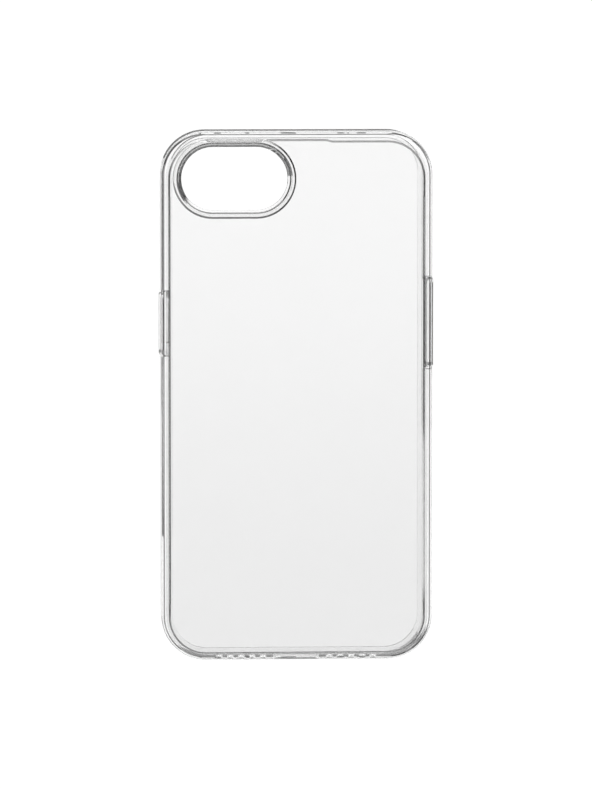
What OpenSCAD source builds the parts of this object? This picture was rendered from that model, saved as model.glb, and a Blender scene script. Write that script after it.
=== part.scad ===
// Clear protective case for a flat slab handset with one pill-shaped camera window.
// A hard clear back plate is held round its edge by a soft clear bumper frame. A raised ring lines the
// camera window. Two button covers sit in windows in the frame's long sides and move when pressed.
//
// Row frame, in mm: the case stands on its bottom end. +Z is up to the top end, +X is to the right when
// the back is looked at, and the back faces -Y. The origin is the bottom centre of the whole case.
// Each piece is drawn lying on its front rim with the back up, and stand() then puts it upright.

/* [Handset] */
// Width of the handset that goes in
handset_w = 71.5; // [70:0.1:73]
// Height of the handset
handset_h = 146.7; // [145:0.1:149]
// Thickness of the handset
handset_t = 7.8; // [7.2:0.1:8.6]
// Radius of the pocket's corners in plan
pocket_corner_r = 10.8; // [10.4:0.1:11.2]
// Room left round the handset
fit_gap = 0.2; // [0.1:0.05:0.3]

/* [Shell] */
// Thickness of the frame's long sides
side_wall = 2.35; // [2.3:0.05:2.6]
// Thickness of the frame's top and bottom ends
end_wall = 1.35; // [1.3:0.05:1.6]
// Radius of the outline's corners in plan
corner_r = 12.6; // [12:0.1:13]
// Rounding of the long edge between side and back
back_round = 1.2; // [1:0.1:1.6]
// Rounding of the long edge between side and front rim
front_round = 1.2; // [1:0.1:1.6]
// Height of the front rim in front of the screen
rim_t = 1.1; // [0.9:0.1:1.4]
// How far the front rim reaches over the screen's edge
rim_reach = 1.15; // [0.9:0.05:1.3]

/* [Back plate] */
// Thickness of the plate
plate_t = 1.2; // [1.1:0.1:1.5]
// Distance from the long sides to the joint line round the plate
joint_inset = 2.2; // [2.1:0.1:2.4]
// Distance from the top end to the joint line
joint_inset_top = 3.1; // [2.2:0.1:3.1]
// Distance from the bottom end to the joint line
joint_inset_bottom = 1.9; // [1.9:0.1:2.4]
// Thickness of the thin tongue round the plate's edge
tongue_t = 0.6; // [0.5:0.05:0.65]
// How far the tongue runs under the frame's flange
tongue_reach = 0.9; // [0.7:0.05:0.9]
// Length of the shallow step in the plate's top edge
step_w = 16.6; // [14:0.2:20]
// Height of that step
step_h = 0.42; // [0.3:0.02:0.5]

/* [Camera window] */
// Distance of the window's centre from the long side
camera_from_side = 20.7; // [20.4:0.1:22]
// Distance of the window's centre from the top end
camera_from_top = 13.6; // [13.6:0.1:16]
// Clear width of the window
window_w = 30; // [27:0.2:30]
// Clear height of the window
window_h = 17.7; // [16:0.1:18]
// Width of the ring's band seen from the back
ring_band = 2.4; // [2.2:0.1:2.5]
// Width of the slope inside the ring
bevel_w = 1.4; // [1.1:0.1:1.5]
// Height of the ring above the back plate
ring_proud = 1.2; // [0.8:0.1:1.6]

/* [Button covers] */
// Distance from the top end to the middle of both covers
covers_from_top = 54.6; // [50:0.2:58]
// Length of the side button's cover
side_cover_l = 17.2; // [14:0.1:20]
// Length of the volume cover
volume_cover_l = 24.9; // [22:0.1:28]
// Width of both covers
cover_w = 2.8; // [2.4:0.1:3.2]
// How far the covers stand out from the frame
cover_proud = 0.55; // [0.4:0.05:0.8]

/* [Openings in the bottom end] */
// Width of the charging port's opening
port_w = 13; // [11:0.2:14]
// Height of the charging port's opening
port_h = 6.2; // [5:0.1:6.4]
// Diameter of each sound hole
sound_hole_d = 1.9; // [1.4:0.1:2.2]
// Distance between sound holes
sound_pitch = 3.1; // [2.6:0.1:3.2]

/* [Hidden] */
$fn = 64;
eps = 0.01;

pocket_w = handset_w + 2 * fit_gap;
pocket_h = handset_h + 2 * fit_gap;
depth_gap = 0.1;
pocket_t = handset_t + depth_gap;
case_w = pocket_w + 2 * side_wall;
case_h = pocket_h + 2 * end_wall;
shell_t = rim_t + pocket_t + plate_t;
total_t = shell_t + ring_proud;
front_y = total_t / 2;

// Heights above the front rim, with the case lying back up
plate_inner_z = shell_t - plate_t;
tongue_top_z = plate_inner_z + tongue_t;
handset_mid_z = rim_t + pocket_t / 2;

// Joint between plate and frame
joint_gap = 0.1;
plate_w = case_w - 2 * joint_inset;
plate_h = case_h - joint_inset_top - joint_inset_bottom;
plate_drop = (joint_inset_top - joint_inset_bottom) / 2;
plate_corner_r = corner_r - joint_inset;

// Camera window: the pill's straight middle and the radii of its round ends
pill_straight = window_w - window_h;
window_r = window_h / 2;
ring_r = window_r + ring_band;
collar_t = 1.2;
collar_r = window_r + collar_t;
collar_gap = 0.05;
window_wall_t = 0.9;
bevel_foot_z = plate_inner_z + window_wall_t;
ring_round = 0.6;
camera_x = -case_w / 2 + camera_from_side;
camera_y = case_h - camera_from_top;

// Button covers: depths are measured inward from the frame's outer side
cover_gap = 0.3;
skin_t = 0.95;
flange_overhang = 1;
flange_grow = 2 * flange_overhang;
flange_t = 0.5;
slide_rest = 0.05;
press_t = 0.3;
press_w = 1.6;
press_l = side_cover_l - 6;
rock_rest = 0.35;
ridge_gap = 0.05;
key_l = 6;
key_t = 0.25;
key_from_end = 1;
covers_y = case_h - covers_from_top;

// Distance from the charging port's end to the nearest sound hole's middle
first_hole = 2.9;

// ---------------------------------------------------------------- shared shapes

// Turns a piece drawn lying back up into the standing case
module stand() {
    translate([0, front_y, 0])
        rotate([90, 0, 0])
            children();
}

// Flat rounded rectangle about the middle of the case's outline
module outline_rect(w, h, r) {
    translate([0, case_h / 2]) {
        square([w - 2 * r, h], center = true);
        square([w, h - 2 * r], center = true);
        for (sx = [-1, 1], sy = [-1, 1])
            translate([sx * (w / 2 - r), sy * (h / 2 - r)])
                circle(r);
    }
}

// Slab of that outline between two heights
module outline_slab(w, h, r, z0, z1) {
    translate([0, 0, z0])
        linear_extrude(z1 - z0)
            outline_rect(w, h, r);
}

// Sweeps a flat profile round a rounded rectangle; the profile's x is the distance from the corner's axis
module sweep_outline(w, h, r) {
    translate([0, case_h / 2, 0]) {
        for (turn = [0, 180])
            rotate(turn) {
                translate([w / 2 - r, h / 2 - r, 0])
                    rotate_extrude(angle = 90)
                        children();
                translate([-(w / 2 - r), h / 2 - r, 0])
                    rotate(90)
                        rotate_extrude(angle = 90)
                            children();
                translate([w / 2 - r, h / 2 - r, 0])
                    rotate([90, 0, 0])
                        linear_extrude(h - 2 * r)
                            children();
            }
        for (turn = [90, 270])
            rotate(turn)
                translate([h / 2 - r, w / 2 - r, 0])
                    rotate([90, 0, 0])
                        linear_extrude(w - 2 * r)
                            children();
    }
}

// Sweeps a flat profile round the camera window's pill; the profile's x is the distance from the pill's spine
module sweep_pill() {
    translate([camera_x, camera_y, 0])
        for (turn = [0, 180])
            rotate(turn) {
                translate([pill_straight / 2, 0, 0])
                    rotate(-90)
                        rotate_extrude(angle = 180)
                            children();
                translate([pill_straight / 2, 0, 0])
                    rotate([90, 0, -90])
                        linear_extrude(pill_straight)
                            children();
            }
}

// Flat pill lying along x
module pill(straight, r) {
    square([straight, 2 * r], center = true);
    for (s = [-1, 1])
        translate([s * straight / 2, 0])
            circle(r);
}

// Camera window's pill, between two heights
module window_pill(r, z0, z1) {
    translate([camera_x, camera_y, z0])
        linear_extrude(z1 - z0)
            pill(pill_straight, r);
}

// Puts a shape on one long side: its x points outward from the frame's outer side, y runs along the case
module on_side(side) {
    translate([side * case_w / 2, covers_y, handset_mid_z])
        rotate(side > 0 ? 0 : 180)
            children();
}

// Upright pill block on a long side: length along the case, from x0 to x1 outward
module side_pill(length, width, x0, x1) {
    translate([x0, 0, 0])
        rotate([90, 0, 90])
            linear_extrude(x1 - x0)
                pill(length - width, width / 2);
}

// ---------------------------------------------------------------- bumper frame

// Half section of the case's outer form, from the corner's axis out to the side
module shell_profile() {
    difference() {
        square([corner_r, shell_t]);
        translate([corner_r - back_round, shell_t - back_round])
            difference() {
                square(back_round + 1);
                circle(back_round);
            }
        translate([corner_r - front_round, front_round])
            difference() {
                translate([0, -front_round - 1])
                    square(front_round + 1);
                circle(front_round);
            }
    }
}

// The outer form as one solid block
module shell_block() {
    sweep_outline(case_w, case_h, corner_r)
        shell_profile();
    translate([-(case_w / 2 - corner_r), corner_r, 0])
        cube([case_w - 2 * corner_r, case_h - 2 * corner_r, shell_t]);
}

// Plan of the shallow step in the middle of the plate's top edge, grown by a gap
module top_step(gap) {
    slope = 4 * step_h;
    top = case_h - joint_inset_top;
    half = step_w / 2;
    polygon([
        [-half - slope - gap, top - 1],
        [half + slope + gap, top - 1],
        [half + slope + gap, top + gap],
        [half + gap, top + step_h + gap],
        [-half - gap, top + step_h + gap],
        [-half - slope - gap, top + gap]
    ]);
}

// Room that the plate takes out of the frame
module plate_seat() {
    translate([0, -plate_drop, 0]) {
        outline_slab(plate_w + 2 * (tongue_reach + joint_gap), plate_h + 2 * (tongue_reach + joint_gap),
            plate_corner_r + tongue_reach + joint_gap, plate_inner_z - eps, tongue_top_z);
        outline_slab(plate_w + 2 * joint_gap, plate_h + 2 * joint_gap, plate_corner_r + joint_gap,
            plate_inner_z, shell_t + 1);
    }
    translate([0, 0, plate_inner_z])
        linear_extrude(plate_t + 1)
            top_step(joint_gap);
}

// Window for a button cover: a slot through the outer skin and a wider pocket behind it
module cover_window(side, length) {
    slot = 2 * cover_gap;
    on_side(side) {
        side_pill(length + slot, cover_w + slot, -side_wall - 1, 1);
        side_pill(length + flange_grow + slot, cover_w + flange_grow + slot, -side_wall - 1, -skin_t);
    }
}

// Charging port and two rows of sound holes through the bottom end
module bottom_openings() {
    translate([0, -1, handset_mid_z])
        rotate([-90, 0, 0])
            linear_extrude(end_wall + 2)
                pill(port_w - port_h, port_h / 2);
    for (s = [-1, 1], i = [0 : 4])
        translate([s * (port_w / 2 + first_hole + i * sound_pitch), -1, handset_mid_z])
            rotate([-90, 0, 0])
                cylinder(d = sound_hole_d, h = end_wall + 2);
}

module bumper_frame() {
    color([0.90, 0.92, 0.93, 0.35])
        stand()
            difference() {
                shell_block();
                outline_slab(pocket_w, pocket_h, pocket_corner_r, rim_t, plate_inner_z);
                outline_slab(pocket_w - 2 * rim_reach, pocket_h - 2 * rim_reach, pocket_corner_r - rim_reach,
                    -1, rim_t + eps);
                plate_seat();
                cover_window(-1, side_cover_l);
                cover_window(1, volume_cover_l);
                bottom_openings();
            }
}

// ---------------------------------------------------------------- back plate

module back_plate() {
    color([0.96, 0.97, 0.98, 0.30])
        stand()
            difference() {
                union() {
                    translate([0, -plate_drop, 0]) {
                        outline_slab(plate_w + 2 * tongue_reach, plate_h + 2 * tongue_reach,
                            plate_corner_r + tongue_reach, plate_inner_z, tongue_top_z);
                        outline_slab(plate_w, plate_h, plate_corner_r, tongue_top_z - eps, shell_t);
                    }
                    translate([0, 0, tongue_top_z - eps])
                        linear_extrude(shell_t - tongue_top_z + eps)
                            top_step(0);
                }
                window_pill(collar_r + collar_gap, plate_inner_z - 1, shell_t + 1);
            }
}

// ---------------------------------------------------------------- camera ring

// Section of the ring: a collar through the plate, a proud band over it and a slope down to the window
module ring_profile() {
    difference() {
        polygon([
            [window_r, plate_inner_z],
            [collar_r, plate_inner_z],
            [collar_r, shell_t],
            [ring_r, shell_t],
            [ring_r, total_t],
            [window_r + bevel_w, total_t],
            [window_r, bevel_foot_z]
        ]);
        translate([ring_r - ring_round, total_t - ring_round])
            difference() {
                square(ring_round + 1);
                circle(ring_round);
            }
    }
}

module camera_ring() {
    color([0.93, 0.95, 0.96, 0.35])
        stand()
            sweep_pill()
                ring_profile();
}

// ---------------------------------------------------------------- button covers

// Cover that slides: pad through the window, flange behind the skin and a press rib on the handset's button
module side_button_cover() {
    flange_out = -skin_t - slide_rest;
    color([0.88, 0.90, 0.92, 0.45])
        stand()
            on_side(-1) {
                side_pill(side_cover_l, cover_w, flange_out - eps, cover_proud);
                side_pill(side_cover_l + flange_grow, cover_w + flange_grow, flange_out - flange_t, flange_out);
                side_pill(press_l, press_w, flange_out - flange_t - press_t, flange_out - flange_t + eps);
            }
}

// Cover that rocks: one bar over both volume keys, with a pivot ridge each side of its middle and a rib for each key
module volume_button_cover() {
    flange_out = -skin_t - rock_rest;
    flange_in = flange_out - flange_t;
    key_y = volume_cover_l / 2 - key_l / 2 - key_from_end;
    ridge_r = rock_rest - ridge_gap;
    ridge_start_z = cover_w / 2 + cover_gap + ridge_gap;
    ridge_end_z = cover_w / 2 + flange_overhang;
    color([0.88, 0.90, 0.92, 0.45])
        stand()
            on_side(1) {
                side_pill(volume_cover_l, cover_w, flange_out - eps, cover_proud);
                side_pill(volume_cover_l + flange_grow, cover_w + flange_grow, flange_in, flange_out);
                for (z = [-ridge_end_z, ridge_start_z])
                    translate([flange_out, 0, z])
                        cylinder(r = ridge_r, h = ridge_end_z - ridge_start_z);
                for (s = [-1, 1])
                    translate([0, s * key_y, 0])
                        side_pill(key_l, press_w, flange_in - key_t, flange_in + eps);
            }
}

// ---------------------------------------------------------------- output

bumper_frame();
back_plate();
camera_ring();
side_button_cover();
volume_button_cover();
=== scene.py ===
import math

import bmesh
import bpy
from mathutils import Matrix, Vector


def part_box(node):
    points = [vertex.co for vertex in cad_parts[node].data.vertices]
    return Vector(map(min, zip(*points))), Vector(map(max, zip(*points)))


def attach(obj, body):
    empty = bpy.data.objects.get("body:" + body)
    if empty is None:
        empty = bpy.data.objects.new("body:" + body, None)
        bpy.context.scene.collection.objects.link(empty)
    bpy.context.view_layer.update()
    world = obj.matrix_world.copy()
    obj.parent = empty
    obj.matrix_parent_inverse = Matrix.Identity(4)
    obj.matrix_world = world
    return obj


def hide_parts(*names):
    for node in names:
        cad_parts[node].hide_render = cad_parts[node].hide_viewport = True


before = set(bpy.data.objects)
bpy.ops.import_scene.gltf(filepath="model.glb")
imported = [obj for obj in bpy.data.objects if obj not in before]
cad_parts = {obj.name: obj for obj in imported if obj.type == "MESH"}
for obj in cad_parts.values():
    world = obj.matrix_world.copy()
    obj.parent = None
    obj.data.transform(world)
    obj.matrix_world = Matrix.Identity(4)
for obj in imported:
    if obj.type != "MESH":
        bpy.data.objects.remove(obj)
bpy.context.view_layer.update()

# ------------------------------------------------------------------ soft bumper frame
# A soft clear frame, moulded in one shot round the four sides of the case. A groove inside its back flange
# holds the hard plate, and its front rim reaches over the screen. The long sides have a window for each
# button cover, and the bottom end has the charging port and two rows of sound holes.

MM = 0.001
FRAME_LOW, FRAME_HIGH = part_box("bumper_frame")
CASE_W = FRAME_HIGH.x - FRAME_LOW.x
CASE_H = FRAME_HIGH.z - FRAME_LOW.z
MID_Z = CASE_H / 2
FRONT_Y = FRAME_HIGH.y
BACK_Y = FRAME_LOW.y
CORNER_R = 12.6 * MM
CORNER_STEPS = 24
BACK_ROUND = 1.2 * MM
FRONT_ROUND = 1.2 * MM
FLANGE_ROUND = 0.16 * MM
MOULD_LINE_STEPS = (2, 3, 4)

# front rim and pocket
SIDE_WALL = 2.35 * MM
END_WALL = 1.35 * MM
RIM_T = 1.1 * MM
RIM_REACH = 1.15 * MM
RIM_LIP_R = 0.15 * MM
RIM_FOOT_R = 0.1 * MM
POCKET_FILLET_R = 0.12 * MM
POCKET_W = CASE_W - 2 * SIDE_WALL
POCKET_H = CASE_H - 2 * END_WALL
POCKET_CORNER_R = 10.8 * MM

# joint with the plate
PLATE_T = 1.2 * MM
TONGUE_T = 0.6 * MM
TONGUE_REACH = 0.9 * MM
JOINT_INSET = 2.2 * MM
JOINT_INSET_TOP = 3.1 * MM
JOINT_INSET_BOTTOM = 1.9 * MM
JOINT_GAP = 0.1 * MM
JOINT_CRACK = 0.02 * MM
STEP_HALF = 8.3 * MM
STEP_SLOPE = 1.7 * MM
STEP_H = 0.42 * MM
SHORT_STOPS = [-STEP_HALF - STEP_SLOPE, -STEP_HALF, STEP_HALF, STEP_HALF + STEP_SLOPE]
PLATE_INNER_Y = BACK_Y + PLATE_T
TONGUE_Y = PLATE_INNER_Y - TONGUE_T
POCKET_MID_Y = (FRONT_Y - RIM_T + PLATE_INNER_Y) / 2

# finishes of the frame's own bands, by material slot
EDGE_LINE, MOULD_LINE, CUT_WALL, POCKET_WALL = 1, 2, 3, 4


def outline(width, height, radius, y, long_stops=(), step=0.0, mid_z=MID_Z):
    """Points round a rounded rectangle that stands at depth y; step lifts the middle of its top edge."""
    points = []
    half_w, half_h = width / 2 - radius, height / 2 - radius

    def corner(sx, sz, start):
        for i in range(CORNER_STEPS + 1):
            a = math.radians(start + 90 * i / CORNER_STEPS)
            x, z = sx * half_w + radius * math.cos(a), sz * half_h + radius * math.sin(a)
            points.append(Vector((x, y, mid_z + z)))

    for z in long_stops:
        points.append(Vector((width / 2, y, z)))
    corner(1, 1, 0)
    for x in reversed(SHORT_STOPS):
        lift = step if abs(x) <= STEP_HALF else 0.0
        points.append(Vector((x, y, mid_z + height / 2 + lift)))
    corner(-1, 1, 90)
    for z in reversed(long_stops):
        points.append(Vector((-width / 2, y, z)))
    corner(-1, -1, 180)
    for x in SHORT_STOPS:
        points.append(Vector((x, y, mid_z - height / 2)))
    corner(1, -1, 270)
    return points


def case_outline(inset, y):
    """The case's own outline moved inward by inset."""
    return outline(CASE_W - 2 * inset, CASE_H - 2 * inset, CORNER_R - inset, y)


def pocket_outline(inset, y):
    """The pocket's own outline moved inward by inset."""
    return outline(POCKET_W - 2 * inset, POCKET_H - 2 * inset, POCKET_CORNER_R - inset, y)


def joint_outline(inset, y, **more):
    """The plate's own outline, placed by its distance from the long sides. It sits nearer the bottom end."""
    grow = 2 * (JOINT_INSET - inset)
    height = CASE_H - JOINT_INSET_TOP - JOINT_INSET_BOTTOM
    mid_z = JOINT_INSET_BOTTOM + height / 2
    return outline(CASE_W - 2 * inset, height + grow, CORNER_R - inset, y, mid_z=mid_z, **more)


def arc(centre_a, centre_b, radius, start, end, steps):
    """Points of an arc in a section, as pairs."""
    turn = [math.radians(start + (end - start) * i / steps) for i in range(steps + 1)]
    return [(centre_a + radius * math.cos(t), centre_b + radius * math.sin(t)) for t in turn]


def frame_section():
    """Loops of the frame's section, in order round it, and the bands that have a finish of their own."""
    # back flange's edge, next to the plate
    flange_inset = JOINT_INSET - JOINT_CRACK
    loops = [joint_outline(flange_inset, TONGUE_Y, step=STEP_H)]
    lines = []
    for a, b in arc(flange_inset - FLANGE_ROUND, FLANGE_ROUND, FLANGE_ROUND, 0, -90, 4):
        lines.append((len(loops) - 1, EDGE_LINE))
        loops.append(joint_outline(a, BACK_Y + b, step=STEP_H))
    # broad round from the back to the side, with the mould's parting line on it
    for i, (a, b) in enumerate(arc(BACK_ROUND, BACK_ROUND, BACK_ROUND, -90, -180, 14)):
        if i in MOULD_LINE_STEPS:
            lines.append((len(loops), MOULD_LINE))
        loops.append(case_outline(a, BACK_Y + b))
    # round from the side to the front rim
    for a, b in arc(FRONT_ROUND, -FRONT_ROUND, FRONT_ROUND, 180, 90, 10):
        loops.append(case_outline(a, FRONT_Y + b))
    # front rim's lip and foot, then the fillet where the pocket's wall starts
    for a, b in arc(RIM_REACH - RIM_LIP_R, -RIM_LIP_R, RIM_LIP_R, 90, 0, 5):
        loops.append(pocket_outline(a, FRONT_Y + b))
    for a, b in arc(RIM_REACH - RIM_FOOT_R, -RIM_T + RIM_FOOT_R, RIM_FOOT_R, 0, -90, 3):
        loops.append(pocket_outline(a, FRONT_Y + b))
    for a, b in arc(POCKET_FILLET_R, -RIM_T - POCKET_FILLET_R, POCKET_FILLET_R, 90, 180, 4):
        loops.append(pocket_outline(a, FRONT_Y + b))
    # pocket's wall and the groove for the plate's tongue
    groove = JOINT_INSET - TONGUE_REACH - JOINT_GAP
    inner_loops = [pocket_outline(0, PLATE_INNER_Y), joint_outline(groove, PLATE_INNER_Y),
                   joint_outline(groove, TONGUE_Y)]
    for loop in inner_loops:
        lines.append((len(loops) - 1, POCKET_WALL))
        loops.append(loop)
    return loops, lines


def skin(loops, closed=True, caps=False, lines=()):
    """Bands of quads from each loop of points to the next. lines gives some bands their own finish."""
    bm = bmesh.new()
    rings = [[bm.verts.new(p) for p in loop] for loop in loops]
    pairs = list(zip(rings, rings[1:]))
    if closed:
        pairs.append((rings[-1], rings[0]))
    finishes = dict(lines)
    for band, (a, b) in enumerate(pairs):
        for i in range(len(a)):
            j = (i + 1) % len(a)
            bm.faces.new((a[i], a[j], b[j], b[i])).material_index = finishes.get(band, 0)
    if caps:
        bm.faces.new(rings[0])
        bm.faces.new(rings[-1])
    bmesh.ops.recalc_face_normals(bm, faces=bm.faces)
    return bm


SHARP_ANGLE = math.radians(32)


def piece(name, bm, materials=()):
    """Turns a bmesh into a smooth-shaded object whose flats stay flat."""
    for face in bm.faces:
        face.smooth = True
    for edge in bm.edges:
        if len(edge.link_faces) == 2 and edge.calc_face_angle() > SHARP_ANGLE:
            edge.smooth = False
    mesh = bpy.data.meshes.new(name)
    bm.to_mesh(mesh)
    bm.free()
    for material in materials:
        mesh.materials.append(material)
    obj = bpy.data.objects.new(name, mesh)
    bpy.context.scene.collection.objects.link(obj)
    return obj


def keep_flats(obj):
    """Weighs corner normals by face area, so that small rounds don't bend the light in large flats."""
    weigh = obj.modifiers.new("weighted normals", "WEIGHTED_NORMAL")
    weigh.mode = "FACE_AREA"
    weigh.weight = 80
    weigh.keep_sharp = True
    return obj


PILL_STEPS = 16
ROUND = 1.0001


def pill_prism(centre, length, width, along, across, axis, depth):
    """A closed prism with pill-shaped ends. A round one is made ROUND times as long as wide."""
    straight = (length - width) / 2
    ring = []
    for side in (1, -1):
        for i in range(PILL_STEPS + 1):
            a = math.radians(-90 + 180 * i / PILL_STEPS)
            ring.append((side * (straight + width / 2 * math.cos(a)), side * width / 2 * math.sin(a)))
    ends = []
    for d in (-depth / 2, depth / 2):
        ends.append([centre + along * u + across * v + axis * d for u, v in ring])
    return skin(ends, closed=False, caps=True)


def cut(obj, cutters, operation="DIFFERENCE", finish=0):
    """Takes the cutters out of obj for good, or with UNION melts them onto it. New walls get the finish."""
    for i, bm in enumerate(cutters):
        for face in bm.faces:
            face.material_index = finish
        tool = piece(f"cutter_{i}", bm, obj.data.materials)
        change = obj.modifiers.new("cut", "BOOLEAN")
        change.operation = operation
        change.solver = "EXACT"
        change.object = tool
        bpy.context.view_layer.update()
        graph = bpy.context.evaluated_depsgraph_get()
        result = bpy.data.meshes.new_from_object(obj.evaluated_get(graph))
        obj.modifiers.clear()
        old = obj.data
        obj.data = result
        bpy.data.meshes.remove(old)
        bpy.data.objects.remove(tool)
    return obj


class Value:
    """A shader socket that plain expressions can add, subtract and multiply."""

    def __init__(self, shader, socket):
        self.shader = shader
        self.socket = socket

    def __add__(self, other):
        return self.shader.math("ADD", self, other)

    def __mul__(self, other):
        return self.shader.math("MULTIPLY", self, other)

    def __sub__(self, other):
        return self.shader.math("SUBTRACT", self, other)

    def __rsub__(self, other):
        return self.shader.math("SUBTRACT", other, self)

    __radd__ = __add__
    __rmul__ = __mul__


class Shader:
    """The emptied node tree of a material or a world, to which nodes are added one call at a time."""

    def __init__(self, owner):
        owner.use_nodes = True
        self.tree = owner.node_tree
        self.tree.nodes.clear()

    def node(self, kind, settings=None, sockets=None):
        """Adds a node of a kind, sets it, fills or links its sockets, and gives its outputs."""
        made = self.tree.nodes.new(kind)
        for name, setting in (settings or {}).items():
            setattr(made, name, setting)
        for name, value in (sockets or {}).items():
            if isinstance(value, Value):
                self.tree.links.new(value.socket, made.inputs[name])
            else:
                made.inputs[name].default_value = value
        outputs = {s.name: Value(self, s) for s in reversed(made.outputs)}
        outputs.update(enumerate(Value(self, s) for s in made.outputs))
        return outputs

    def math(self, operation, a, b=0.0):
        return self.node("ShaderNodeMath", {"operation": operation}, {0: a, 1: b})[0]

    def split(self, place):
        """X, Y and Z of a place, by name."""
        return self.node("ShaderNodeSeparateXYZ", {}, {"Vector": place})

    def rise(self, value, low, high):
        """Rises smoothly from 0 to 1 as value goes from low to high."""
        return self.node("ShaderNodeMapRange", {"interpolation_type": "SMOOTHSTEP"}, {
            "Value": value, "From Min": low, "From Max": high})["Result"]

    def mix(self, share, colour, other):
        """Goes from one colour to the other as share goes from 0 to 1."""
        return self.node("ShaderNodeMix", {"data_type": "RGBA"}, {0: share, 6: colour, 7: other})[2]


def grey(level):
    return (level, level, level, 1)


def flow_cloud(shader, place):
    """Soft clouds, from 0 to 1, where the plastic flowed and cooled unevenly."""
    return shader.node("ShaderNodeTexNoise", {}, {
        "Vector": place, "Scale": 60.0, "Detail": 3.0, "Roughness": 0.5})["Fac"]


# colour of the painted shade at grazing edges
EDGE_SHADE_GREY = grey(0.08)
CLOUD_SHARE = 0.12


def clear_plastic(name, ior, roughness, haze, tint, rim=0.85):
    """Clear moulded plastic with a mottled gloss. rim is how dark its colour gets at a grazing angle: painted
    edge shade, partly the longer path through the plastic and partly the dark surroundings seen through its
    edges.
    """
    material = bpy.data.materials.new(name)
    shader = Shader(material)
    place = shader.node("ShaderNodeTexCoord")["Object"]
    facing = shader.node("ShaderNodeLayerWeight", {}, {"Blend": 0.5})["Facing"]
    grazing_shade = shader.math("POWER", facing, 2.2) * rim
    surface = shader.node("ShaderNodeBsdfPrincipled", {}, {
        "Base Color": shader.mix(grazing_shade, tint(shader, place), EDGE_SHADE_GREY),
        "Roughness": flow_cloud(shader, place) * haze + roughness,
        "IOR": ior,
        "Transmission Weight": 1.0})["BSDF"]
    shader.node("ShaderNodeOutputMaterial", {}, {"Surface": surface})
    return material


def height_shade_tint(low, high):
    """A grey tint that runs from low at the bottom end to high at the top, a little mottled. The rise is
    painted shade: darker low down, lighter high up, as the light falls.
    """
    def tint(shader, place):
        share = shader.rise(shader.split(place)["Z"], 0.0, CASE_H)
        mottle = (flow_cloud(shader, place) - 0.5) * CLOUD_SHARE
        return shader.mix(share + mottle, grey(low), grey(high))
    return tint


BEAD_PITCH = 1.03 * MM


def joint_shade_tint(shader, place):
    """The joint's dark, beaded edge: partly the real crack between the parts, partly painted shade. It is
    painted lighter at both ends, under the ring and low on the right, as the light falls there.
    """
    spot = shader.split(place)
    from_middle = shader.math("ABSOLUTE", spot["Z"] - MID_Z)
    end_far, end_near = 14 * MM, 4 * MM
    at_end = shader.rise(from_middle, CASE_H / 2 - end_far, CASE_H / 2 - end_near)
    at_bottom = shader.rise(spot["Z"], end_far, end_near)
    bead = shader.math("SINE", spot["Z"] * (2 * math.pi / BEAD_PITCH)) * 0.5 + 0.5
    ring_left, ring_right = (-36 * MM, -29 * MM), (-7 * MM, -10 * MM)
    ring_level = (CASE_H - 14 * MM, CASE_H - 8 * MM)
    across_ring = shader.rise(spot["X"], *ring_left) * shader.rise(spot["X"], *ring_right)
    under_ring = across_ring * shader.rise(spot["Z"], *ring_level)
    right_side, below_covers, above_corner = (28 * MM, 32 * MM), (66 * MM, 58 * MM), (16 * MM, 24 * MM)
    lower = shader.rise(spot["Z"], *below_covers) * shader.rise(spot["Z"], *above_corner)
    low_right = shader.rise(spot["X"], *right_side) * lower
    # painted light: the lighter stretches at the ends, at the bottom, under the ring and low on the right
    ends = at_end * 0.16 + at_bottom * 0.3
    sides = bead * (1 - at_end) * 0.02 + low_right * 0.5
    darkest = 0.001
    return shader.mix(ends + sides + under_ring * 0.7 + darkest, grey(0), grey(1))


def parting_line_shade_tint(shader, place):
    """The mould's parting line: even and faint along the sides, broken up at the top and bottom ends by dark
    dashes of painted shade.
    """
    spot = shader.split(place)
    dash_noise = shader.node("ShaderNodeTexNoise", {"noise_dimensions": "1D"}, {
        "W": spot["X"], "Scale": 190.0, "Detail": 1.0})["Fac"]
    from_middle = shader.math("ABSOLUTE", spot["Z"] - MID_Z)
    end_reach, dash_level = 3 * MM, 0.45
    at_end = shader.math("GREATER_THAN", from_middle, CASE_H / 2 - end_reach)
    # painted shade: the dark dashes at both ends
    gap = shader.math("GREATER_THAN", dash_noise, dash_level) * at_end
    return shader.mix(gap, grey(0.08), grey(0.92))


SOFT_IOR = 1.49
WEB_IOR = 1.1
# these tints are painted darker towards the bottom end and lighter towards the top: painted shade
hidden_tint = height_shade_tint(0.97, 0.98)
soft_clear = clear_plastic("frame_clear", SOFT_IOR, roughness=0.012, haze=0.02, tint=height_shade_tint(0.95, 0.97))
# the edge lines are dark with painted shade, and painted lighter in places
soft_edge = clear_plastic("soft_edge", SOFT_IOR, roughness=0.2, haze=0.1, tint=joint_shade_tint)
# the parting line carries dashes of painted shade at its ends
soft_mould_line = clear_plastic("soft_mould_line", SOFT_IOR, roughness=0.1, haze=0.1, tint=parting_line_shade_tint)
soft_cut_wall = clear_plastic("soft_cut_wall", WEB_IOR, roughness=0.01, haze=0.02, tint=hidden_tint, rim=0.0)
soft_pocket = clear_plastic("soft_pocket_wall", SOFT_IOR, roughness=0.012, haze=0.02,
                            tint=hidden_tint, rim=0.15)
frame_loops, frame_lines = frame_section()
frame_mesh = piece("clear_bumper_frame", skin(frame_loops, lines=frame_lines),
                   [soft_clear, soft_edge, soft_mould_line, soft_cut_wall, soft_pocket])

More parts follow.
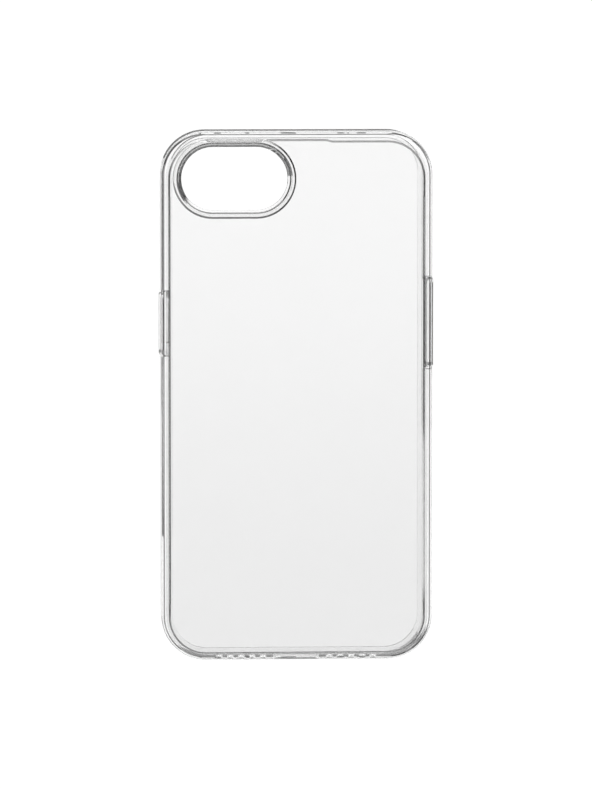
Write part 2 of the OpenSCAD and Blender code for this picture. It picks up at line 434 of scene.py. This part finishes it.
# windows for the button covers: a slot through the outer skin and a wider recess behind it
RIGHT, DEEP, UP = Vector((1, 0, 0)), Vector((0, 1, 0)), Vector((0, 0, 1))
COVER_LOW, COVER_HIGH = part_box("side_button_cover")
COVER_Z = (COVER_LOW.z + COVER_HIGH.z) / 2
COVER_W = 2.8 * MM
COVER_GAP = 0.3 * MM
SIDE_COVER_L = 17.2 * MM
VOLUME_COVER_L = 24.9 * MM
SKIN_T = 0.95 * MM
FLANGE = 1.0 * MM
FLANGE_END = 0.55 * MM
SLOT_CUT = 6 * MM
RECESS_CUT = 3 * MM
openings = []
for side, length in ((-1, SIDE_COVER_L), (1, VOLUME_COVER_L)):
    slot_l, slot_w = length + 2 * COVER_GAP, COVER_W + 2 * COVER_GAP
    recess_l, recess_w = slot_l + 2 * FLANGE_END, slot_w + 2 * FLANGE
    outer = Vector((side * CASE_W / 2, POCKET_MID_Y, COVER_Z))
    inner = outer - RIGHT * side * (SKIN_T + RECESS_CUT / 2)
    openings.append(pill_prism(outer, slot_l, slot_w, UP, DEEP, RIGHT, SLOT_CUT))
    openings.append(pill_prism(inner, recess_l, recess_w, UP, DEEP, RIGHT, RECESS_CUT))

# charging port and sound holes
PORT_W, PORT_H = 13 * MM, 6.2 * MM
HOLE_D, HOLE_PITCH = 1.9 * MM, 3.1 * MM
FIRST_HOLE = 2.9 * MM
HOLES_IN_ROW = 5
END_CUT = 5 * MM
bottom = Vector((0, POCKET_MID_Y, 0))
openings.append(pill_prism(bottom, PORT_W, PORT_H, RIGHT, DEEP, UP, END_CUT))
for side in (-1, 1):
    for i in range(HOLES_IN_ROW):
        spot = bottom + RIGHT * side * (PORT_W / 2 + FIRST_HOLE + i * HOLE_PITCH)
        openings.append(pill_prism(spot, HOLE_D * ROUND, HOLE_D, RIGHT, DEEP, UP, END_CUT))
keep_flats(cut(frame_mesh, openings, finish=CUT_WALL))

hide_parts("bumper_frame")
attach(frame_mesh, "case_body")

# ------------------------------------------------------------------ hard back plate
# A flat panel of hard clear plastic. A thin tongue round its edge sits in the frame's groove, and its top
# edge has a shallow step. The edge of each long side is finely notched where the frame keys into it.

NOTCH_DEPTH = 0.12 * MM
NOTCH_LOW, NOTCH_HIGH = 16 * MM, 131 * MM
NOTCH_PARTS = 6
notch_count = round((NOTCH_HIGH - NOTCH_LOW) / BEAD_PITCH)
NOTCH_STOPS = [NOTCH_LOW + BEAD_PITCH * i / NOTCH_PARTS for i in range(notch_count * NOTCH_PARTS + 1)]
PLATE_EDGE_R = 0.36 * MM
LAP_GAP = 0.03 * MM
RING_LOW, RING_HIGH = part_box("camera_ring")
WINDOW_X = (RING_LOW.x + RING_HIGH.x) / 2
WINDOW_Z = (RING_LOW.z + RING_HIGH.z) / 2
WINDOW_STEPS = 48
PILL_STRAIGHT = (RING_HIGH.x - RING_LOW.x) - (RING_HIGH.z - RING_LOW.z)
RING_R = (RING_HIGH.z - RING_LOW.z) / 2
RING_BAND = 2.4 * MM
WINDOW_R = RING_R - RING_BAND
COLLAR_R = WINDOW_R + 1.2 * MM
COLLAR_GAP = 0.05 * MM


def notched(loop):
    """Moves the long sides' points of a loop inward in a row of small scallops."""
    moved = []
    for p in loop:
        on_side = NOTCH_LOW <= p.z <= NOTCH_HIGH
        phase = (p.z - NOTCH_LOW) / BEAD_PITCH
        inward = NOTCH_DEPTH * (0.5 - 0.5 * math.cos(2 * math.pi * phase)) if on_side else 0.0
        moved.append(Vector((p.x - math.copysign(inward, p.x), p.y, p.z)))
    return moved


def window_loop(radius, y):
    """Points round the camera window's pill at a radius from its spine."""
    points = []
    for side in (1, -1):
        for i in range(WINDOW_STEPS + 1):
            a = math.radians(-90 + 180 * i / WINDOW_STEPS)
            points.append(Vector((WINDOW_X + side * (PILL_STRAIGHT / 2 + radius * math.cos(a)), y,
                                  WINDOW_Z + side * radius * math.sin(a))))
    return points


def plate_solid():
    """The plate's edge band and window band, closed by two flat faces with the window's hole in them."""
    edge_inset = JOINT_INSET + JOINT_CRACK
    tongue_inset = JOINT_INSET - TONGUE_REACH
    tongue_y = TONGUE_Y + LAP_GAP
    inner_y = PLATE_INNER_Y - LAP_GAP
    edge = [joint_outline(tongue_inset, inner_y, long_stops=NOTCH_STOPS),
            joint_outline(tongue_inset, tongue_y, long_stops=NOTCH_STOPS),
            notched(joint_outline(edge_inset, tongue_y, long_stops=NOTCH_STOPS, step=STEP_H))]
    first_line = len(edge) - 1
    for a, b in arc(edge_inset + PLATE_EDGE_R, PLATE_EDGE_R, PLATE_EDGE_R, 180, 270, 4):
        edge.append(notched(joint_outline(a, BACK_Y + b, long_stops=NOTCH_STOPS, step=STEP_H)))
    hole = [window_loop(COLLAR_R + COLLAR_GAP, inner_y), window_loop(COLLAR_R + COLLAR_GAP, BACK_Y)]
    bm = bmesh.new()
    ends = []
    for loops in (edge, hole):
        rings = [[bm.verts.new(p) for p in loop] for loop in loops]
        for band, (a, b) in enumerate(zip(rings, rings[1:])):
            for i in range(len(a)):
                j = (i + 1) % len(a)
                face = bm.faces.new((a[i], a[j], b[j], b[i]))
                face.material_index = EDGE_LINE if loops is edge and band >= first_line else 0
        ends.append((rings[0], rings[-1]))
    for end in (0, 1):
        rims = []
        for rings in ends:
            ring = rings[end]
            for i in range(len(ring)):
                rims.append(bm.edges.get((ring[i], ring[(i + 1) % len(ring)])))
        bmesh.ops.triangle_fill(bm, use_beauty=True, edges=rims)
    bmesh.ops.recalc_face_normals(bm, faces=bm.faces)
    return bm


HARD_IOR = 1.58
# the plate's tint is painted shade, darker towards the bottom end and lighter towards the top
hard_clear = clear_plastic("plate_clear", HARD_IOR, roughness=0.004, haze=0.008,
                           tint=height_shade_tint(0.785, 0.895), rim=0.0)
hard_edge = clear_plastic("hard_edge", HARD_IOR, roughness=0.2, haze=0.1, tint=joint_shade_tint)
plate = keep_flats(piece("clear_back_plate", plate_solid(), [hard_clear, hard_edge]))
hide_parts("back_plate")
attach(plate, "case_body")

# ------------------------------------------------------------------ camera ring
# A raised surround of hard clear plastic for the camera window. A collar goes down through the plate, a
# rounded band stands proud of the back, and a smooth slope leads down into the window.

RING_TOP_Y = RING_LOW.y
RING_FOOT_R = 0.2 * MM
RING_TOP_R = 0.6 * MM
RING_TOP_STEPS = 8
CREST_R = 0.04 * MM
BEVEL_W = 1.4 * MM
BEVEL_FOOT_Y = PLATE_INNER_Y - 0.9 * MM
BEVEL_SOFTENING = 0.1 * MM
RING_SIDE, RING_SLOPE = 1, 2


def ring_section():
    """Loops of the ring's section, in order round it, and the bands that have a finish of their own."""
    inner_y = PLATE_INNER_Y - LAP_GAP
    lap_y = BACK_Y - LAP_GAP
    loops = [window_loop(WINDOW_R, inner_y), window_loop(COLLAR_R, inner_y), window_loop(COLLAR_R, lap_y)]
    for a, b in arc(RING_R - RING_FOOT_R, -RING_FOOT_R, RING_FOOT_R, 90, 0, 3):
        loops.append(window_loop(a, lap_y + b))
    lines = [(len(loops) - 1 + i, RING_SIDE) for i in range(RING_TOP_STEPS)]
    for a, b in arc(RING_R - RING_TOP_R, RING_TOP_R, RING_TOP_R, 0, -90, RING_TOP_STEPS):
        loops.append(window_loop(a, RING_TOP_Y + b))
    for a, b in arc(WINDOW_R + BEVEL_W + CREST_R, CREST_R, CREST_R, -90, -140, 3):
        loops.append(window_loop(a, RING_TOP_Y + b))
    lines.append((len(loops) - 1, RING_SLOPE))
    loops.append(window_loop(WINDOW_R + BEVEL_SOFTENING, BEVEL_FOOT_Y - BEVEL_SOFTENING))
    loops.append(window_loop(WINDOW_R, BEVEL_FOOT_Y + BEVEL_SOFTENING))
    return loops, lines


def ring_side_shade_tint(shader, place):
    """The ring's outer side, with painted shade: darkest on the right and along the bottom, lightest on the
    upper left.
    """
    spot = shader.split(place)
    bend_start, bend_end = 6 * MM, 13 * MM
    right = shader.rise(spot["X"], WINDOW_X + bend_start, WINDOW_X + bend_end)
    low_start, low_end = 5 * MM, 10 * MM
    low = shader.rise(spot["Z"], WINDOW_Z - low_start, WINDOW_Z - low_end)
    # painted shade, darkest on the right and along the bottom
    return shader.mix((1 - right) * (1 - low * 0.7), grey(0.001), grey(0.85))


def ring_slope_shade_tint(shader, place):
    """The slope down to the window, finely grained, with painted shade: greyer on its upper left, clear on
    its lower right.
    """
    spot = shader.split(place)
    up_share = (spot["Z"] - WINDOW_Z) * (1 / RING_R)
    right_share = (spot["X"] - WINDOW_X) * (0.5 / (13 * MM))
    # painted shade, greyest on the upper left
    greyer = shader.rise(up_share - right_share + 0.08, -0.1, 0.15)
    grain = shader.node("ShaderNodeTexNoise", {}, {"Vector": place, "Scale": 1400.0, "Detail": 2.0})["Fac"]
    return shader.mix(1 - greyer * (1 - grain * 0.45), grey(0.02), grey(0.96))


RING_IOR = 1.55
ring_clear = clear_plastic("ring_body", RING_IOR, roughness=0.008, haze=0.015,
                           tint=height_shade_tint(0.94, 0.96), rim=0.2)
ring_side = clear_plastic("ring_side", RING_IOR, roughness=0.1, haze=0.1, tint=ring_side_shade_tint)
ring_slope = clear_plastic("ring_slope", RING_IOR, roughness=0.04, haze=0.1, tint=ring_slope_shade_tint)
ring_loops, ring_lines = ring_section()
ring = keep_flats(piece("clear_camera_ring", skin(ring_loops, lines=ring_lines),
                        [ring_clear, ring_side, ring_slope]))
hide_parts("camera_ring")
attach(ring, "case_body")

# ------------------------------------------------------------------ button covers
# Two soft clear covers in the windows of the long sides. Each is a rounded pad, held by a wide flange behind
# the frame's skin. The short one slides straight in. The long one rocks on a ridge to press either key.

COVER_PROUD = 0.55 * MM
COVER_STEPS = 12
PAD_ROUND = 0.5 * MM
PAD_STEPS = 8
FLANGE_T = 0.5 * MM
FLANGE_EDGE = 0.12 * MM
RIB_W = 1.6 * MM
SOFT_GROWTH = 0.46 * MM
FULL_W = COVER_W + SOFT_GROWTH
HIDDEN_SIDE = 1
TOUCH = 0.01 * MM


def cover_loop(side, length, width, outward):
    """Pill loop on a long side, outward of the frame's outer side."""
    straight = (length - width) / 2
    points = []
    for end in (1, -1):
        for i in range(COVER_STEPS + 1):
            a = math.radians(180 * i / COVER_STEPS + (0 if end == 1 else 180))
            points.append(Vector((side * (CASE_W / 2 + outward), POCKET_MID_Y + width / 2 * math.cos(a),
                                  COVER_Z + end * straight + width / 2 * math.sin(a))))
    return points


def cover_solid(side, length, flange_out, rib_l=0, rib_t=0):
    """Press rib, flange and pad as one lofted solid with a rounded outer edge."""
    flange_in = flange_out - FLANGE_T
    full_l, full_w = length + 2 * FLANGE_END, FULL_W + 2 * FLANGE
    edge_l, edge_w = full_l - 2 * FLANGE_EDGE, full_w - 2 * FLANGE_EDGE
    loops = []
    if rib_l:
        loops.append(cover_loop(side, rib_l, RIB_W, flange_in - rib_t))
        loops.append(cover_loop(side, rib_l, RIB_W, flange_in))
    loops.append(cover_loop(side, edge_l, edge_w, flange_in))
    loops.append(cover_loop(side, full_l, full_w, flange_in + FLANGE_EDGE))
    loops.append(cover_loop(side, full_l, full_w, flange_out - FLANGE_EDGE))
    loops.append(cover_loop(side, edge_l, edge_w, flange_out))
    loops.append(cover_loop(side, length, FULL_W, flange_out))
    for a, b in arc(-PAD_ROUND, COVER_PROUD - PAD_ROUND, PAD_ROUND, 0, 90, PAD_STEPS):
        loops.append(cover_loop(side, length + 2 * a, FULL_W + 2 * a, b))
    bm = skin(loops, closed=False, caps=True)
    hidden_x = CASE_W / 2 + flange_out + TOUCH
    for face in bm.faces:
        if all(abs(v.co.x) < hidden_x for v in face.verts):
            face.material_index = HIDDEN_SIDE
    return bm


cover_clear = clear_plastic("cover_soft", SOFT_IOR, roughness=0.02, haze=0.04,
                            tint=height_shade_tint(0.95, 0.96), rim=0.6)
cover_hidden = clear_plastic("cover_hidden_side", WEB_IOR, roughness=0.01, haze=0.02,
                             tint=hidden_tint, rim=0.0)

# short cover, which slides
SLIDE_FACE = -SKIN_T - 0.05 * MM
SIDE_RIB_L, SIDE_RIB_T = SIDE_COVER_L - 6 * MM, 0.3 * MM
side_solid = cover_solid(-1, SIDE_COVER_L + SOFT_GROWTH, SLIDE_FACE, SIDE_RIB_L, SIDE_RIB_T)
side_cover = keep_flats(piece("clear_side_button_cover", side_solid, [cover_clear, cover_hidden]))
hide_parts("side_button_cover")
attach(side_cover, "side_button")

# long cover, which rocks: a ridge each side of its middle and a rib for each key
ROCK_FACE = -SKIN_T - 0.35 * MM
RIDGE_D, RIDGE_L = 0.6 * MM, 0.62 * MM
RIDGE_OFFSET = COVER_W / 2 + 0.68 * MM
KEY_RIB_L, KEY_RIB_T = 6 * MM, 0.25 * MM
KEY_RIB_OFFSET = VOLUME_COVER_L / 2 - KEY_RIB_L / 2 - 1 * MM
volume_solid = cover_solid(1, VOLUME_COVER_L + SOFT_GROWTH, ROCK_FACE)
volume_cover = piece("clear_volume_button_cover", volume_solid, [cover_clear, cover_hidden])
outer_face = Vector((CASE_W / 2 + ROCK_FACE, POCKET_MID_Y, COVER_Z))
inner_face = outer_face - RIGHT * FLANGE_T
rocker_parts = []
for side in (-1, 1):
    ridge = outer_face + DEEP * side * RIDGE_OFFSET
    rocker_parts.append(pill_prism(ridge, RIDGE_D * ROUND, RIDGE_D, UP, RIGHT, DEEP, RIDGE_L))
    key_rib = inner_face + UP * side * KEY_RIB_OFFSET
    rocker_parts.append(pill_prism(key_rib, KEY_RIB_L, RIB_W, UP, DEEP, RIGHT, 2 * KEY_RIB_T))
keep_flats(cut(volume_cover, rocker_parts, "UNION", finish=HIDDEN_SIDE))
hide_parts("volume_button_cover")
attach(volume_cover, "volume_button")

# ------------------------------------------------------------------ floor, light and camera
# A matt white floor that runs to the horizon, under a soft white sky. Black cards round the case, which only
# its clear plastic shows, draw its edges. A long lens looks almost straight at the back of the case.

FLOOR_HALF = 40
CARD_BLACK = 0.02
floor_bm = bmesh.new()
bmesh.ops.create_grid(floor_bm, x_segments=1, y_segments=1, size=FLOOR_HALF)
floor_paint = bpy.data.materials.new("floor_paint")
paint = Shader(floor_paint)
speckle = paint.node("ShaderNodeTexNoise", {}, {"Scale": 220.0, "Detail": 2.0})["Fac"]
matt = paint.node("ShaderNodeBsdfPrincipled", {}, {
    "Base Color": grey(0.9), "Roughness": speckle * 0.1 + 0.85, "Specular IOR Level": 0.0})["BSDF"]
paint.node("ShaderNodeOutputMaterial", {}, {"Surface": matt})
floor = piece("floor", floor_bm, [floor_paint])

# each card's middle and half width as angles round the case, and whether it has a wing along the floor
CARDS = ((62, 22, False), (-53, 31, True), (124, 28, False), (-124, 28, False))
CARD_STEPS = 12
CARD_DISTANCE = 0.8
CARD_FOOT, CARD_TOP = 0.5 * MM, 0.42
WING_SHARE = 0.45
card_bm = bmesh.new()
for middle, half_angle, has_wing in CARDS:
    ends = []
    for i in range(CARD_STEPS + 1):
        a = math.radians(middle - half_angle + 2 * half_angle * i / CARD_STEPS)
        ends.append((CARD_DISTANCE * math.sin(a), CARD_DISTANCE * math.cos(a)))
    rows = [[card_bm.verts.new((x, y, z)) for x, y in ends] for z in (CARD_FOOT, CARD_TOP)]
    if has_wing:
        rows.insert(0, [card_bm.verts.new((x * WING_SHARE, y * WING_SHARE, CARD_FOOT)) for x, y in ends])
    for low, high in zip(rows, rows[1:]):
        for i in range(CARD_STEPS):
            card_bm.faces.new((low[i], low[i + 1], high[i + 1], high[i]))
card_paint = bpy.data.materials.new("card_paint")
card_paint.use_nodes = True
card_paint.node_tree.nodes["Principled BSDF"].inputs["Base Color"].default_value = grey(CARD_BLACK)
cards = piece("black_cards", card_bm, [card_paint])
cards.visible_camera = False
cards.visible_diffuse = False
cards.visible_shadow = False

# the clear pieces neither shade the floor nor tint it
for clear_piece in (frame_mesh, plate, ring, side_cover, volume_cover):
    clear_piece.visible_shadow = False
    clear_piece.visible_diffuse = False

SIDE_LIGHT, OVERHEAD_LIGHT = 0.25, 1.93
SKY_EDGE_LOW, SKY_EDGE_HIGH = 0.55, 0.8
world = bpy.data.worlds.new("studio")
bpy.context.scene.world = world
sky = Shader(world)
toward = sky.split(sky.node("ShaderNodeTexCoord")["Generated"])
overhead = sky.rise(toward["Z"], SKY_EDGE_LOW, SKY_EDGE_HIGH)
level = overhead * (OVERHEAD_LIGHT - SIDE_LIGHT) + SIDE_LIGHT
seen = sky.node("ShaderNodeLightPath")["Is Camera Ray"]
strength = level + seen * (1 - level)
glow = sky.node("ShaderNodeBackground", {}, {"Color": grey(1), "Strength": strength})["Background"]
sky.node("ShaderNodeOutputWorld", {}, {"Surface": glow})
bpy.context.scene.view_settings.view_transform = "Standard"

LENS, SENSOR = 300, 36
AZIMUTH, ELEVATION = math.radians(-3.5), math.radians(4.5)
FRAME_SHARE = 1.490
distance = CASE_H * FRAME_SHARE * LENS / SENSOR
level_reach = math.cos(ELEVATION)
back = Vector((math.sin(AZIMUTH) * level_reach, -math.cos(AZIMUTH) * level_reach, math.sin(ELEVATION)))
camera = bpy.data.objects.new("camera", bpy.data.cameras.new("camera"))
bpy.context.scene.collection.objects.link(camera)
camera.data.lens = LENS
camera.data.sensor_width = SENSOR
camera.data.clip_end = 100
camera.location = Vector((0, 0, MID_Z)) + back * distance
camera.rotation_mode = "QUATERNION"
camera.rotation_quaternion = (-back).to_track_quat("-Z", "Y")
bpy.context.scene.camera = camera
